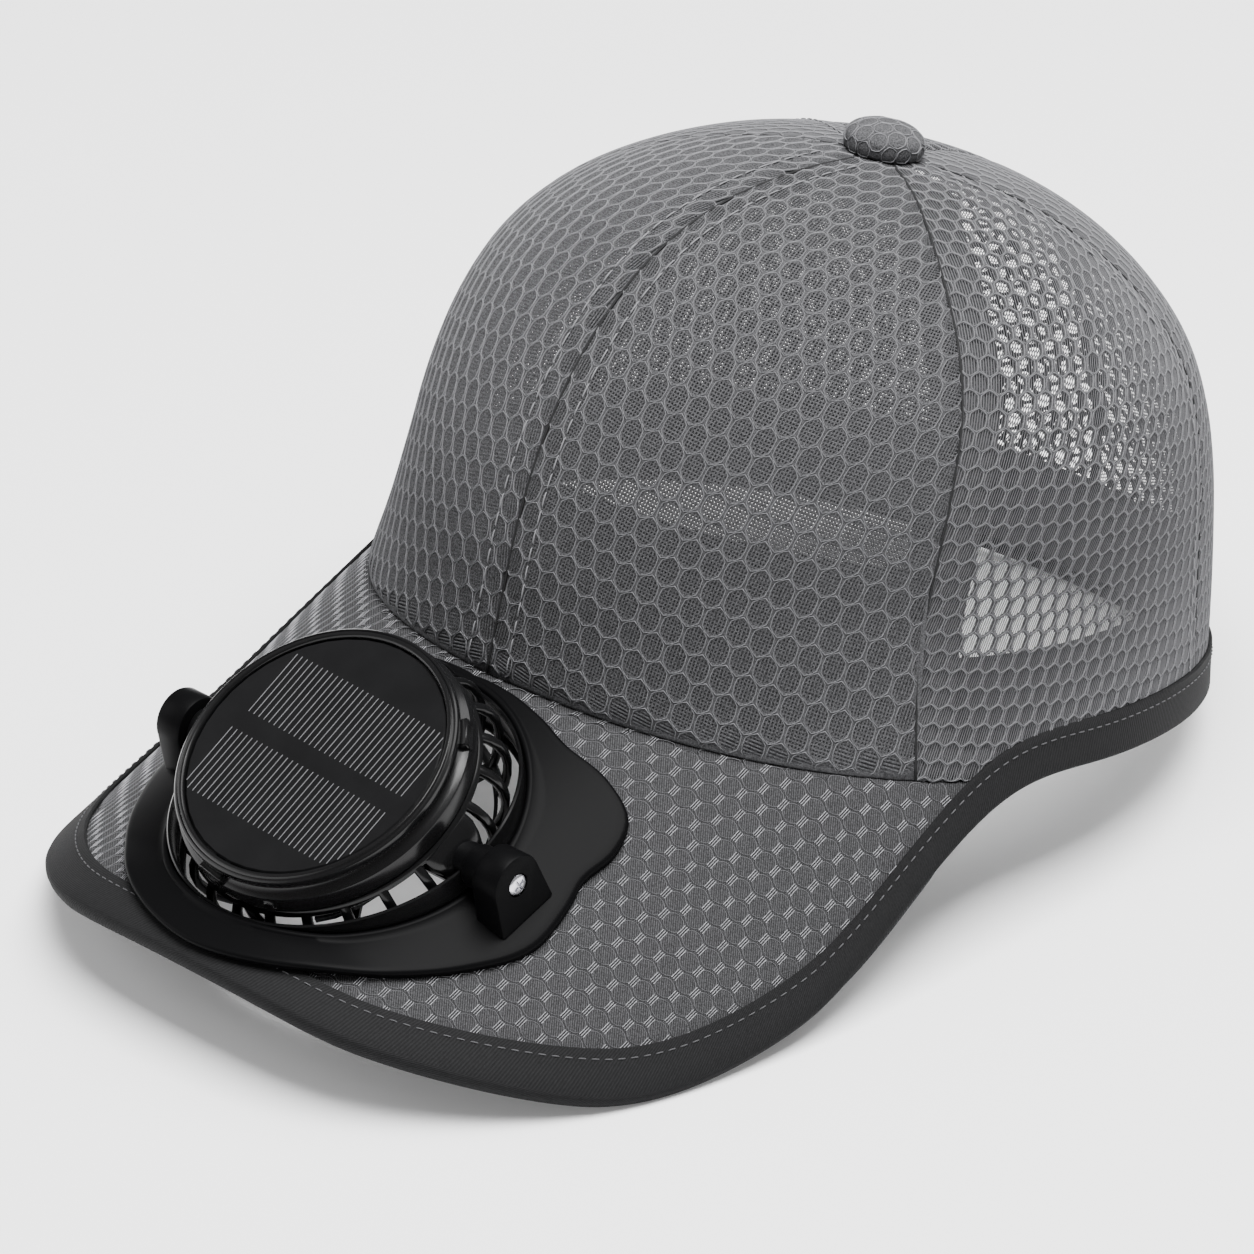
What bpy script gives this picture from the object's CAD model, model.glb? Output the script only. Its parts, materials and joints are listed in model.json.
"""The looks of the solar cap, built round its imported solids.

The cloth pieces are modelled again in full: the crown's panels as a cut honeycomb knit, the peak
with its knit cells and dashes, one length of tape sewn round the peak and the rim, the inner band
and the covered button. The fan head gets its finer mouldings and its solar cells.
"""
import json
import math
from collections import namedtuple

import bmesh
import bpy
import numpy as np
from mathutils import Matrix, Vector


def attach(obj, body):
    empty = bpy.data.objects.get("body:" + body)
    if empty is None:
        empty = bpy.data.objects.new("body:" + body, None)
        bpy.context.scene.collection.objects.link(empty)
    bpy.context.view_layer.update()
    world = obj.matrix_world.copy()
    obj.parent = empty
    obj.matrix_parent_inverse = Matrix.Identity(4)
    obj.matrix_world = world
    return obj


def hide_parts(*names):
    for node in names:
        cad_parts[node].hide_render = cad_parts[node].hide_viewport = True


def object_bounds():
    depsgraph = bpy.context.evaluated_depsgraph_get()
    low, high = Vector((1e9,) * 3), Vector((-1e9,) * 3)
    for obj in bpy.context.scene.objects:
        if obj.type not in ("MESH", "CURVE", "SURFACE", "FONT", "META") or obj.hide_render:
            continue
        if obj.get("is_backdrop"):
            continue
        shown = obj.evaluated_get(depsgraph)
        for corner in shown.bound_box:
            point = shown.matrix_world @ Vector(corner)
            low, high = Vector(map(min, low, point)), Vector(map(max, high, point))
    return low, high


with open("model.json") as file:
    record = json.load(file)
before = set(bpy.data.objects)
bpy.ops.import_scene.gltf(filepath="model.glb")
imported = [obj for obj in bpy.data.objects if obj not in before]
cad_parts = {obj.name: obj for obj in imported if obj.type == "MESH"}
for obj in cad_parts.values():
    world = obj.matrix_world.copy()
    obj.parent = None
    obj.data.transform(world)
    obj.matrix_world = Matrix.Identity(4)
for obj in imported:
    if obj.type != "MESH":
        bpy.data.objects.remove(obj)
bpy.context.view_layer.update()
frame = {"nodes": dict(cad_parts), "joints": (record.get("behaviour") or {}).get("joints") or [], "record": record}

MM = 0.001
FIT_GAP = 0.3 * MM

# The crown's surface, which follows the solids: sizes of the rim, and its level sections as shares
# of its height, half width, front reach and back reach
CROWN_HALF_WIDTH = 86.5 * MM
CROWN_FRONT = 90.5 * MM
CROWN_BACK = 101.5 * MM
CROWN_HEIGHT = 104.6 * MM
APEX_SETBACK = 11.0 * MM
CROWN_CLOTH = 1.4 * MM
RIM_FRONT_RISE = 5.3 * MM
RIM_BACK_DROP = 8.6 * MM
RIM_DROP_START = math.radians(97.0)
TOP_LEAN = 0.055
TEMPLE_ANGLE = math.radians(75.6)
SIDE_SEAM_ANGLE = math.radians(63.0)
REAR_SEAM_ANGLE = math.radians(121.0)
APEX_HEIGHT_SHARE = 0.9994
CROWN_SECTIONS = np.array((
    (0.00, 1.000, 1.000, 1.000),
    (0.16, 0.950, 0.993, 1.004),
    (0.31, 0.922, 0.990, 0.972),
    (0.45, 0.912, 0.975, 0.908),
    (0.59, 0.888, 0.935, 0.822),
    (0.71, 0.835, 0.870, 0.728),
    (0.81, 0.735, 0.782, 0.622),
    (0.89, 0.595, 0.660, 0.508),
    (0.95, 0.430, 0.490, 0.370),
    (0.988, 0.235, 0.260, 0.198),
    (1.00, 0.000, 0.000, 0.000),
))

# The peak's surface and edge, which follow the solids too
PEAK_LENGTH = 78.9 * MM
PEAK_HALF_WIDTH = 89.2 * MM
PEAK_BOARD = 2.4 * MM
PEAK_SLOPE = 0.576
PEAK_ARCH = 50.0 * MM
PEAK_ARCH_POWER = 2.54
PEAK_TEMPLE_LEDGE = 2.2 * MM
PEAK_ROOT_DROP = 1.4 * MM
PEAK_ROOT_BLEND = 0.35
PEAK_EDGE = ((0.997, 0.478), (0.853, 0.760), (0.455, 0.965), (0.000, 1.000))
TAPE = 0.8 * MM
PEAK_TAPE_WIDTH = 7.8 * MM
RIM_TAPE_WIDTH = 8.5 * MM
RIM_TAPE_INSIDE = 2.2 * MM
BAND_HEIGHT = 21.0 * MM
BAND_CLOTH = 1.2 * MM
BAND_START = 3.0 * MM
BAND_CLEARANCE = 0.8 * MM
BUTTON_RADIUS = 8.6 * MM
BUTTON_HEIGHT = 6.6 * MM

# The knit: a honeycomb of rounded cells, each with its own raised outline
CELL_WIDTH = 4.4 * MM
CELL_ROW = 3.84 * MM
CELL_HEIGHT = 5.12 * MM
CELL_SIDES = 12
KNIT_CLOTH = 0.5 * MM
STRAND_HALF = 0.15 * MM
STRAND_RISE = 0.24 * MM
STRAND_SINK = 0.05 * MM
# Straight threads over a cell's opening, in millimetres: their number, how far the outer ones lie
# from the middle, half their width and their depth; then their reach as a share of the half cell,
# how much of it they lose towards the cell's sides, and whether they run across the cloth
Threads = namedtuple("Threads", "count spread half depth reach loss across")
# A panel's cloth: how its pattern is stretched and leant on the flat, its openings as shares of the
# cell with their roundness, its threads, and half the width and the roundness of its raised outlines
Knit = namedtuple("Knit", "warp opening threads strand_half strand_roundness")
FRONT_KNIT = Knit(
    ((1.143, 0.286), (-0.239, 1.367)), (0.76, 0.82, 0.6),
    (Threads(5, 1.25, 0.255, 0.12, 0.86, 0.30, False), Threads(7, 1.68, 0.225, 0.20, 0.84, 0.34, True)),
    0.11 * MM, 0.5,
)
SIDE_KNIT = Knit(
    ((0.99, 0.38), (-0.05, 0.98)), (0.72, 0.88, 0.5), (Threads(5, 1.2, 0.14, 0.15, 0.88, 0.34, False),),
    STRAND_HALF, 0.3,
)
PANEL_STRAND_INSET = (0.30 * MM, 0.06 * MM)
# The peak's knit: how its pattern is stretched and leant, the rings round each cell in millimetres,
# with their inset across and along the cloth, the number of their finish, half their width and their
# height, and the dashes between two cells
PEAK_WARP = ((1.27, -0.035), (0.48, 1.0))
PEAK_RINGS = ((0.44, 0.30, 0, 0.09, 0.12), (0.22, 0.08, 2, 0.10, 0.05))
PEAK_RING_ROUNDNESS = 0.8
PEAK_DASHES = np.array((-0.42, 0.0, 0.42)) * MM
PEAK_DASH_HALF_LENGTH = 1.25 * MM
PEAK_DASH_HALF_WIDTH = 0.07 * MM
PEAK_DASH_LIFT = 0.10 * MM

# Seams and tape
SEAM_GAP = 0.35 * MM
SEAM_DIP = 0.3 * MM
SEAM_DIP_WIDTH = 0.9 * MM
SEAM_TOP_SHARE = 0.9988
SEAM_MOST_TURN = 0.42
SEAM_BACKING_DEPTHS = (0.5 * MM, 1.0 * MM)
SEAM_GROOVE_DEPTHS = (0.10 * MM, 0.45 * MM)
SEAM_GROOVE_HALF = 0.25 * MM
SEAM_STITCH_OFFSET = 5.6 * MM
PEAK_STATIONS = 181
RIM_STATIONS = 260
TAPE_TURN = 22.0 * MM
TAPE_EASE = 9
LINING_HEIGHT = 43.0 * MM
LINING_TEMPLE_HEIGHT = 5.0 * MM
LINING_STATIONS = 160
LINING_ROWS = 16
EDGE_DIP = 1.3 * MM
EDGE_DIP_WIDTH = 1.1 * MM

# Stitches: length, gap and half width; then a stitch's sections as shares of its length, and their
# lift and radius as shares of its half width
SEAM_STITCH = (3.3 * MM, 0.7 * MM, 0.17 * MM)
TAPE_STITCH = (1.75 * MM, 1.05 * MM, 0.15 * MM)
BAND_STITCH = (2.4 * MM, 1.2 * MM, 0.16 * MM)
STITCH_SHARES = np.array((0.0, 0.12, 0.5, 0.88, 1.0))
STITCH_LIFTS = np.array((-0.6, 0.45, 0.75, 0.45, -0.6))
STITCH_SIZES = np.array((0.35, 0.9, 1.0, 0.9, 0.35))
STITCH_SIDES = 5

# Fan module: the plate's outline as angles and shares of the opening's radius, and its mouldings
OPENING_RADIUS = 37.5 * MM
COLLAR_WALL = 1.5 * MM
COLLAR_DEPTH = 10.0 * MM
HOLE_RADIUS = OPENING_RADIUS + COLLAR_WALL + FIT_GAP
PLATE_THICK = 2.0 * MM
PLATE_EDGE = 0.8 * MM
PLATE_STATIONS = 180
PLATE_OUTLINE = np.array((
    (-90, 1.262), (-65, 1.253), (-40, 1.280), (-20, 1.365), (-5, 1.440), (8, 1.425), (16, 1.420),
    (25, 1.515), (33, 1.545), (41, 1.440), (51, 1.250), (62, 1.170), (76, 1.110), (90, 1.072),
))
PLATE_BEAD = ((0.0, 1.6), (0.25, 2.2), (0.8, 2.5), (1.4, 2.35), (1.7, 2.0))
MODULE_TILT = math.atan(PEAK_SLOPE)
BRACKET_INNER = 42.6 * MM
BRACKET_WIDTH = 7.0 * MM
BRACKET_TOP_RADIUS = 6.5 * MM
BRACKET_FOOT_HALF = 7.6 * MM
# An ear's sections in millimetres: how far out from its inner face, and how much smaller
BRACKET_SECTIONS = (
    (0.0, 0.7), (0.2, 0.2), (0.7, 0.0), (BRACKET_WIDTH / MM - 0.8, 0.0), (BRACKET_WIDTH / MM - 0.2, 0.25),
    (BRACKET_WIDTH / MM, 0.8),
)
SCREW_RADIUS = 1.1 * MM
SCREW_HEAD_RADIUS = 2.3 * MM
SCREW_HEAD = 0.8 * MM
SCREW_GRIP = 3.6 * MM
SCREW_BORE = 1.4
# The screw head's dome: shares of its radius, and heights in millimetres over its seat
SCREW_DOME = ((1.0, 0.0), (1.0, 0.35), (0.92, 0.55), (0.7, 0.72), (0.4, 0.79), (0, 0.8))
SCREW_CROSS = (2.9, 0.62, 1.1)
SCREW_CROSS_HEIGHT = 0.75
SCREW_CROSS_TURN = 0.3

# Fan head, in millimetres: radius and height pairs about its own axis
HOUSING_PROFILE = (
    (0, 13.3), (28.8, 13.3), (30.8, 11.7), (30.8, 7.9), (31.0, 7.6), (32.1, 7.6), (32.4, 7.9),
    (32.4, 11.1), (32.2, 11.7), (31.4, 12.4), (30.7, 12.9), (30.4, 13.3), (30.6, 13.8), (31.0, 14.1),
    (31.2, 14.5), (31.2, 15.6), (31.1, 16.1), (30.8, 16.4), (30.5, 16.45), (30.35, 16.3),
    (30.2, 16.45), (30.0, 16.7), (29.7, 16.8), (29.3, 16.75), (29.0, 16.5), (28.85, 16.1), (28.8, 14.95),
    (0, 14.95),
)
GUARD_BAND = (
    (30.9, 7.3), (32.2, 7.3), (32.6, 6.9), (32.8, 6.2), (32.5, 5.6), (31.6, 5.5), (31.0, 5.9),
)
GUARD_FLOOR = (
    (27.8, -12.2), (28.8, -11.9), (29.8, -12.3), (30.0, -13.0), (29.6, -13.8), (28.6, -14.0), (27.8, -13.6),
    (27.5, -12.9),
)
GUARD_HUB = ((0, -12.4), (10.5, -12.4), (11.2, -12.8), (11.3, -13.3), (10.6, -13.9), (9.8, -14.0), (0, -14.0))
BARREL_PROFILE = (
    (0, 29.0), (5.4, 29.0), (5.0, 31.5), (4.4, 33.6), (4.0, 35.0), (4.0, 37.6), (4.5, 37.9), (4.7, 38.3),
    (4.7, 41.8), (4.4, 42.2), (2.4, 42.3), (1.4, 42.3), (1.4, 38.4), (0, 38.4),
)
CAGE_RIBS = 24
RIB_DEPTH = 0.95
RIB_SIDES = 12
RIB_SQUARENESS = 0.6
RIB_SECTIONS = (
    (31.9, 6.3, 1.1), (33.4, 4.5, 1.1), (34.4, 2.0, 1.1), (34.7, -0.8, 1.1), (34.1, -4.0, 1.1),
    (32.8, -7.2, 1.1), (31.0, -10.2, 1.05), (28.8, -12.7, 1.0),
)
CHEEK_WIDEN = (6.0, 6.0, 5.4, 4.6, 3.6, 2.6, 1.6, 1.0)
WELL_RING = (
    (36.6, 1.0), (37.1, 1.3), (37.4, 1.0), (37.45, -8.0), (37.3, -9.6), (36.4, -9.8), (36.0, -9.4),
    (36.3, -8.6), (36.9, -8.0), (36.9, -6.0), (36.5, -5.6), (36.7, -5.0), (36.95, -4.6), (36.9, 0.4),
)
SPOKES = 6
SPOKE_PLACE = (19.5, 0, -13.2)
SPOKE_SIZE = (20.0, 3.0, 1.6)
CLIP_ANGLES = (38, 158, -98)
CLIP_PLACE = (31.4, 0, 12.2)
CLIP_SIZE = (2.0, 7.0, 3.4)
DIMPLE_ANGLE = -72
DIMPLE_PLACE = (32.4, 0, 9.7)
DIMPLE = ((0, -0.4), (1.6, -0.4), (1.6, 0.1), (1.3, 0.35), (1.0, 0.3), (0.7, 0.1), (0, 0.05))
PANEL_TOP = 16.2
CELL_LINES = 31
CELL_ROWS = ((-21.2, 24.6, 1.2, 17.0), (-21.8, 24.2, -19.4, -3.4))
CELL_TURN = math.radians(-2.3)
CELL_REACH = 28.3
CELL_LINE_WIDTH, CELL_LINE_DEPTH, CELL_LINE_LIFT = 0.17, 0.08, 0.02

# Photo's camera
CAMERA_PLACE = Vector((1.1767, -1.2265, 0.9904))
CAMERA_AZIMUTH = math.radians(44.05)
CAMERA_ELEVATION = math.radians(29.15)
CAMERA_LENS = 265.82
CAMERA_SENSOR = 36.0

# Studio: each light's name, place, size and power, and how bright the floor and the sky are
LIGHTS = (
    ("key", (0.25, 0.0, 1.65), (1.2, 1.2), 97.0),
    ("fill", (-1.25, -0.75, 0.75), (0.9, 0.9), 9.0),
    ("rim", (0.3, 0.9, 1.4), (1.2, 0.8), 16.0),
)
FLOOR_SIZE = 20.0
FLOOR_GLOW = 0.15
SKY_GLOW = 0.31

record = frame["record"]
RIM_MOUNT = record["mounts"][0]
RIM_CENTRE = Vector(RIM_MOUNT["pos_m"])
RIM_DOWN = Vector(RIM_MOUNT["axis"]).normalized()
CAP_PITCH = math.asin(-RIM_DOWN.y)
CAP = Matrix.Translation(RIM_CENTRE) @ Matrix.Rotation(-CAP_PITCH, 4, "X")
CAP_TURN = np.array(CAP.to_3x3())
CAP_PLACE = np.array(CAP.to_translation())
UPHILL = np.array((0.0, math.cos(MODULE_TILT), math.sin(MODULE_TILT)))
NORMAL = np.array((0.0, -math.sin(MODULE_TILT), math.cos(MODULE_TILT)))
TILT_JOINT, SPIN_JOINT = frame["joints"]
PIVOT = Vector(TILT_JOINT["pos_m"])
PIVOT_CAP = np.array(CAP.inverted() @ PIVOT)
PIVOT_PLAN = PIVOT_CAP[:2]
MODULE = Matrix.Translation(PIVOT) @ Matrix.Rotation(MODULE_TILT - CAP_PITCH, 4, "X")
HEAD_AXIS = Vector(SPIN_JOINT["axis"])
HEAD = Matrix.Translation(PIVOT) @ Matrix.Rotation(math.atan2(-HEAD_AXIS.y, HEAD_AXIS.z), 4, "X")


def to_world(points):
    """Turns rows of places in the cap's own frame into rows of world places."""
    return np.asarray(points) @ CAP_TURN.T + CAP_PLACE


def smoothstep(share):
    share = np.clip(share, 0.0, 1.0)
    return share * share * (3.0 - 2.0 * share)


def running_length(points):
    """How far along a line each of its points lies."""
    return np.concatenate([[0.0], np.cumsum(np.linalg.norm(np.diff(points, axis=0), axis=1))])


def smooth_curve(knots, values):
    """A smooth curve through the given values, as a function of arrays."""
    knots, values = np.asarray(knots, float), np.asarray(values, float)
    slopes = np.gradient(values, knots)

    def read(at):
        at = np.asarray(at, float)
        k = np.clip(np.searchsorted(knots, at) - 1, 0, len(knots) - 2)
        span = knots[k + 1] - knots[k]
        t = (at - knots[k]) / span
        near = (1 + 2 * t) * (1 - t) ** 2 * values[k] + t * (1 - t) ** 2 * span * slopes[k]
        far = t * t * (3 - 2 * t) * values[k + 1] + t * t * (t - 1) * span * slopes[k + 1]
        return near + far

    return read


WIDTH_SHARE, FRONT_SHARE, BACK_SHARE = (
    smooth_curve(np.arcsin(CROWN_SECTIONS[:, 0]), CROWN_SECTIONS[:, k]) for k in (1, 2, 3)
)


# Finishes

def finish(name, colour, roughness, metallic=0.0, grain=None, weaves=(), sockets=()):
    """A material whose shade and relief come from fine noise and from woven lines over the flat cloth."""
    made = bpy.data.materials.new(name)
    made.use_nodes = True
    nodes, links = made.node_tree.nodes, made.node_tree.links
    shader = nodes["Principled BSDF"]
    shader.inputs["Base Color"].default_value = (*colour, 1.0)
    shader.inputs["Roughness"].default_value = roughness
    shader.inputs["Metallic"].default_value = metallic
    for socket, value in sockets:
        shader.inputs[socket].default_value = value
    made.diffuse_color = (*colour, 1.0)
    patterns = []
    if grain:
        size, shade, depth = grain
        place = nodes.new("ShaderNodeTexCoord")
        noise = nodes.new("ShaderNodeTexNoise")
        noise.inputs["Scale"].default_value = 1 / (size * MM)
        noise.inputs["Detail"].default_value = 3.0
        links.new(place.outputs["Object"], noise.inputs["Vector"])
        patterns.append((noise.outputs["Fac"], shade, depth))
    for direction, pitch, shade, depth in weaves:
        flat = nodes.new("ShaderNodeUVMap")
        flat.uv_map = "flat"
        wave = nodes.new("ShaderNodeTexWave")
        wave.bands_direction = direction
        wave.inputs["Scale"].default_value = (0.62832 if direction == "DIAGONAL" else 0.31416) / pitch
        wave.inputs["Distortion"].default_value = 0.5
        links.new(flat.outputs["UV"], wave.inputs["Vector"])
        patterns.append((wave.outputs["Fac"], shade, depth))
    tint, normal = None, None
    for value, shade, depth in patterns:
        spread = nodes.new("ShaderNodeMapRange")
        spread.inputs["To Min"].default_value = 1 - shade
        spread.inputs["To Max"].default_value = 1 + shade
        links.new(value, spread.inputs["Value"])
        scale = nodes.new("ShaderNodeVectorMath")
        scale.operation = "SCALE"
        scale.inputs["Vector"].default_value = colour
        if tint:
            links.new(tint, scale.inputs["Vector"])
        links.new(spread.outputs["Result"], scale.inputs["Scale"])
        tint = scale.outputs["Vector"]
        bump = nodes.new("ShaderNodeBump")
        bump.inputs["Distance"].default_value = depth * MM
        links.new(value, bump.inputs["Height"])
        if normal:
            links.new(normal, bump.inputs["Normal"])
        normal = bump.outputs["Normal"]
    if tint:
        links.new(tint, shader.inputs["Base Color"])
        links.new(normal, shader.inputs["Normal"])
    return made


def grey(value, blue=1.05):
    return value, value, value * blue


DULL = [("Specular IOR Level", 0.2)]
DARK = [("Specular IOR Level", 0.22)]
FAINT = [("Specular IOR Level", 0.10)]
SATIN = [("Specular IOR Level", 0.03)]
finish_of = {
    "knit": finish("knit", grey(0.050), 0.95, grain=(0.33, 1.4, 0.12), sockets=DULL),
    "strand": finish("strand", grey(0.135), 0.85, grain=(0.30, 0.5, 0.08), sockets=DULL),
    "mesh_thread": finish("mesh_thread", grey(0.10), 0.9, sockets=DULL),
    "fill": finish("fill", grey(0.054), 0.95, grain=(0.33, 1.6, 0.12), sockets=DULL),
    "backing": finish("backing", grey(0.052), 0.95, grain=(0.33, 1.4, 0.12), sockets=DULL),
    "groove": finish("groove", grey(0.012), 0.95, grain=(0.5, 0.3, 0.05), sockets=DULL),
    "peak": finish("peak_weave", grey(0.030), 0.9, grain=(0.35, 1.4, 0.10),
                   weaves=[("DIAGONAL", 0.65, 0.55, 0.06)], sockets=DULL),
    "peak_strand": finish("peak_strand", grey(0.10), 0.85, grain=(0.3, 0.5, 0.08), sockets=DULL),
    "peak_groove": finish("peak_groove", grey(0.018), 0.9, grain=(0.4, 0.6, 0.05), sockets=DULL),
    "peak_dash": finish("peak_dash", grey(0.27), 0.7, grain=(1.2, 0.8, 0.0), sockets=DULL),
    "tape": finish("tape", grey(0.0085), 0.8, grain=(0.5, 0.5, 0.05), weaves=[("DIAGONAL", 0.8, 0.30, 0.05)],
                   sockets=FAINT),
    "stitch": finish("stitch", grey(0.060), 0.7, sockets=DULL),
    "seam_thread": finish("seam_thread", grey(0.17), 0.7, sockets=DULL),
    "band": finish("band", grey(0.052), 0.9, grain=(0.6, 0.6, 0.10), sockets=DULL),
    "satin": finish("satin", grey(0.0022, 1.1), 0.42, grain=(0.25, 0.10, 0.010), sockets=SATIN),
    "gloss": finish("gloss", grey(0.004), 0.20, grain=(12.0, 0.1, 0.0), sockets=DARK),
    "cells": finish("cells", grey(0.006), 0.20, grain=(9.0, 0.3, 0.0), sockets=FAINT),
    "silver": finish("silver", grey(0.15), 0.45, 0.4, grain=(2.0, 0.3, 0.0)),
    "steel": finish("steel", grey(0.62), 0.28, 1.0, grain=(0.6, 0.2, 0.01)),
    "motor": finish("motor", grey(0.06), 0.4, 0.6, grain=(1.5, 0.2, 0.005)),
    "rotor": finish("rotor", grey(0.012), 0.25, grain=(1.0, 0.2, 0.005), sockets=DARK),
}


# The crown's and the peak's surfaces

def rim_height(phi):
    turn = np.abs(np.remainder(phi + np.pi, 2 * np.pi) - np.pi)
    rise = RIM_FRONT_RISE * (1 - smoothstep(turn / TEMPLE_ANGLE))
    drop = RIM_BACK_DROP * smoothstep((turn - RIM_DROP_START) / (np.pi - RIM_DROP_START))
    return rise - drop


def crown_points(phi, height, inset=0.0):
    """Places on the crown at angles from the front and shares of its height."""
    phi, height, inset = np.broadcast_arrays(phi, height, np.asarray(inset, float))
    share = np.clip(height, 0.0, 1.0)
    level = np.arcsin(share)
    side, ahead = np.sin(phi), np.cos(phi)
    front = (CROWN_FRONT - inset) * FRONT_SHARE(level)
    back = (CROWN_BACK - inset) * BACK_SHARE(level)
    centre = APEX_SETBACK * share ** 1.5
    x = (CROWN_HALF_WIDTH - inset) * WIDTH_SHARE(level) * side
    y = centre - np.where(ahead > 0, front, back) * ahead
    rim = rim_height(phi)
    z = rim + (CROWN_HEIGHT - inset - rim) * height - TOP_LEAN * (y - centre) * share ** 3
    return np.stack([x, y, z], axis=-1)


def above_rim(phi, rise, inset):
    """Places on the crown a distance above its rim, or straight below it."""
    rise = np.asarray(rise, float)
    places = crown_points(phi, np.maximum(rise, 0) / (CROWN_HEIGHT - inset - rim_height(phi)), inset)
    places[..., 2] += np.minimum(rise, 0)
    return places


def peak_base(x, y):
    arch = PEAK_ARCH * np.abs(x / PEAK_HALF_WIDTH) ** PEAK_ARCH_POWER
    return RIM_FRONT_RISE - PEAK_ROOT_DROP + PEAK_SLOPE * (y + CROWN_FRONT) - arch


def peak_height(x, y):
    """Height of the peak's top face, which meets the underside of the crown's rim at its root."""
    across, along = x / CROWN_HALF_WIDTH, -y / CROWN_FRONT
    ratio = np.hypot(across, along)
    root = rim_height(np.arctan2(across, along)) - FIT_GAP
    safe = np.maximum(ratio, 1e-6)
    fade = 1 - smoothstep((ratio - 1) / PEAK_ROOT_BLEND)
    outside = peak_base(x, y) + (root - peak_base(x / safe, y / safe)) * fade
    return np.where(ratio < 1, root, outside)


def peak_points(x, y, offset=0.0):
    """Places an offset above the peak's top face, square to it."""
    x, y, offset = np.broadcast_arrays(np.asarray(x, float), np.asarray(y, float), np.asarray(offset, float))
    step = 0.5 * MM
    slope_x = (peak_height(x + step, y) - peak_height(x - step, y)) / (2 * step)
    slope_y = (peak_height(x, y + step) - peak_height(x, y - step)) / (2 * step)
    normal = np.stack([-slope_x, -slope_y, np.ones_like(x)], axis=-1)
    normal /= np.linalg.norm(normal, axis=-1, keepdims=True)
    return np.stack([x, y, peak_height(x, y)], axis=-1) + normal * offset[..., None]


def peak_edge(count):
    """Points of the peak's edge from one temple to the other."""
    reach = CROWN_FRONT + PEAK_LENGTH
    temple = crown_points(TEMPLE_ANGLE, 0.0)[:2]
    half = [temple * (1 + PEAK_TEMPLE_LEDGE / np.linalg.norm(temple))]
    half += [np.array((side * PEAK_HALF_WIDTH, -ahead * reach)) for side, ahead in PEAK_EDGE]
    corners = np.array([point * (-1, 1) for point in half] + list(reversed(half[:-1])))
    spans = running_length(corners)
    places = np.linspace(0, spans[-1], count)
    return np.stack([smooth_curve(spans, corners[:, k])(places) for k in (0, 1)], axis=-1)


# Turning flat cloth into panels

class CrownPanel:
    """One gore of the crown, for turning flat places on its cloth into places on the crown."""

    def __init__(self, start, end):
        self.middle = (start + end) / 2
        self.half_turn = (end - start) / 2
        self.heights = np.sin(np.linspace(0, math.asin(APEX_HEIGHT_SHARE), 120))
        self.along = running_length(crown_points(self.middle, self.heights))
        turns = np.linspace(start, end, 25)[None, :]
        rows = crown_points(turns, self.heights[:, None])
        self.radius = np.linalg.norm(np.diff(rows, axis=1), axis=2).sum(axis=1) / (end - start)

    def length(self):
        return self.along[-1]

    def half_width(self, v):
        return np.interp(v, self.along, self.radius) * self.half_turn

    def place(self, u, v, inset):
        height = np.interp(v, self.along, self.heights)
        radius = np.maximum(np.interp(v, self.along, self.radius), 0.5 * MM)
        return to_world(crown_points(self.middle + u / radius, height, inset))


# Making meshes

def linked(name, data):
    """A new object in the scene."""
    made = bpy.data.objects.new(name, data)
    bpy.context.scene.collection.objects.link(made)
    return made


def new_object(name, points, faces, body="cap", finishes=(), face_finish=None, uv=None):
    """A mesh object from arrays, which rides on a body."""
    mesh = bpy.data.meshes.new(name)
    mesh.from_pydata([tuple(point) for point in points], [], [tuple(face) for face in faces])
    for finish in finishes:
        mesh.materials.append(finish)
    if face_finish is not None:
        mesh.polygons.foreach_set("material_index", np.asarray(face_finish, np.int32))
    if uv is not None:
        layer = mesh.uv_layers.new(name="flat")
        corners = np.zeros(len(mesh.loops), np.int32)
        mesh.loops.foreach_get("vertex_index", corners)
        layer.data.foreach_set("uv", np.asarray(uv, np.float32)[corners].ravel())
    mesh.shade_smooth()
    mesh.update()
    made = linked(name, mesh)
    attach(made, body)
    return made


class Cloth:
    """Gathers flat pieces of cloth: places on the flat, how far each stands proud, and their faces."""

    def __init__(self):
        self.flat, self.proud, self.faces, self.finish = [], [], [], []
        self.count = 0

    def add(self, flat, proud, faces, finish):
        """Adds copies of one form: flat is copies x points x 2, proud is a height for each point."""
        copies, points, _ = flat.shape
        proud = np.broadcast_to(proud, (copies, points))
        self.flat.append(flat.reshape(-1, 2))
        self.proud.append(proud.reshape(-1))
        faces = np.asarray(faces)
        offsets = self.count + np.arange(copies)[:, None, None] * points
        self.faces.append((faces[None] + offsets).reshape(-1, faces.shape[1]))
        self.finish.append(np.full(copies * len(faces), finish))
        self.count += copies * points

    def arrays(self):
        flat, proud = np.vstack(self.flat), np.concatenate(self.proud)
        return flat, proud, np.vstack(self.faces), np.concatenate(self.finish)


def ring_faces(rings, sides, closed):
    """Quads between rings of points numbered one ring after another."""
    faces = []
    for low in range(rings if closed else rings - 1):
        high = (low + 1) % rings
        for k in range(sides):
            after = (k + 1) % sides
            faces.append((low * sides + k, low * sides + after, high * sides + after, high * sides + k))
    return faces


def cell_outline(half_width, half_height, roundness):
    """A cell's outline with its points up: from a plain hexagon to an oval as roundness goes to 1."""
    angles = 2 * np.pi * np.arange(CELL_SIDES) / CELL_SIDES
    hexagon = 1 / np.cos(np.remainder(angles + np.pi / 6, np.pi / 3) - np.pi / 6)
    reach = hexagon * (1 - roundness) + 1.06 * roundness
    across = reach * np.cos(angles)
    along = reach * np.sin(angles) * math.cos(math.pi / 6)
    return np.stack([across * half_width, along * half_height], axis=-1)


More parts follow.
